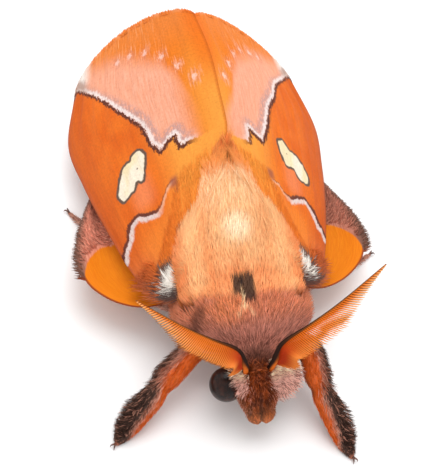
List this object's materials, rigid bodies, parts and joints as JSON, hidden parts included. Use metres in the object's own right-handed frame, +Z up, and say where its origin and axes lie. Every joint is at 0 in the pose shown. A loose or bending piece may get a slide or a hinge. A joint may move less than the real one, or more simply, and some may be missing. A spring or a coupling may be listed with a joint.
{
  "type": "moth model",
  "caption": "Life-size still model of a resting lasiocampid moth: furry thorax, roof-like orange wings with white spots, feathered antennae and hairy legs",
  "frame": {"origin": "on the floor under the middle of the whole insect's box, feet included", "axes": "+Y runs from head to wing tips, +Z is up, the insect's own right side is -X"},
  "size_m": [0.0346, 0.0546, 0.0181],
  "materials": {
    "thorax_coat": "dense soft hair, orange-peach, cream behind and purplish brown in front",
    "abdomen_coat": "dense soft hair, orange brown",
    "head_coat": "short dense hair, brown orange with cream-pink tufts",
    "eye": "smooth glossy dark brown",
    "antenna": "satin orange rays on a darker brown shaft",
    "forewing": "fine velvety scales, orange with pink, white and dark brown marks",
    "hindwing": "fine velvety scales, orange yellow with a dark red-brown edge",
    "leg_coat": "dense hair, orange with a black-brown fringe"
  },
  "bodies": {
    "root": {"thorax": "thorax_coat", "abdomen": "abdomen_coat", "head": "head_coat", "eye_right": "eye", "eye_left": "eye", "palp_right": "head_coat", "palp_left": "head_coat", "antenna_right": "antenna", "antenna_left": "antenna", "forewing_right": "forewing", "forewing_left": "forewing", "hindwing_right": "hindwing", "hindwing_left": "hindwing", "foreleg_right": "leg_coat", "midleg_right": "leg_coat", "hindleg_right": "leg_coat", "foreleg_left": "leg_coat", "midleg_left": "leg_coat", "hindleg_left": "leg_coat"}
  },
  "joints": []
}
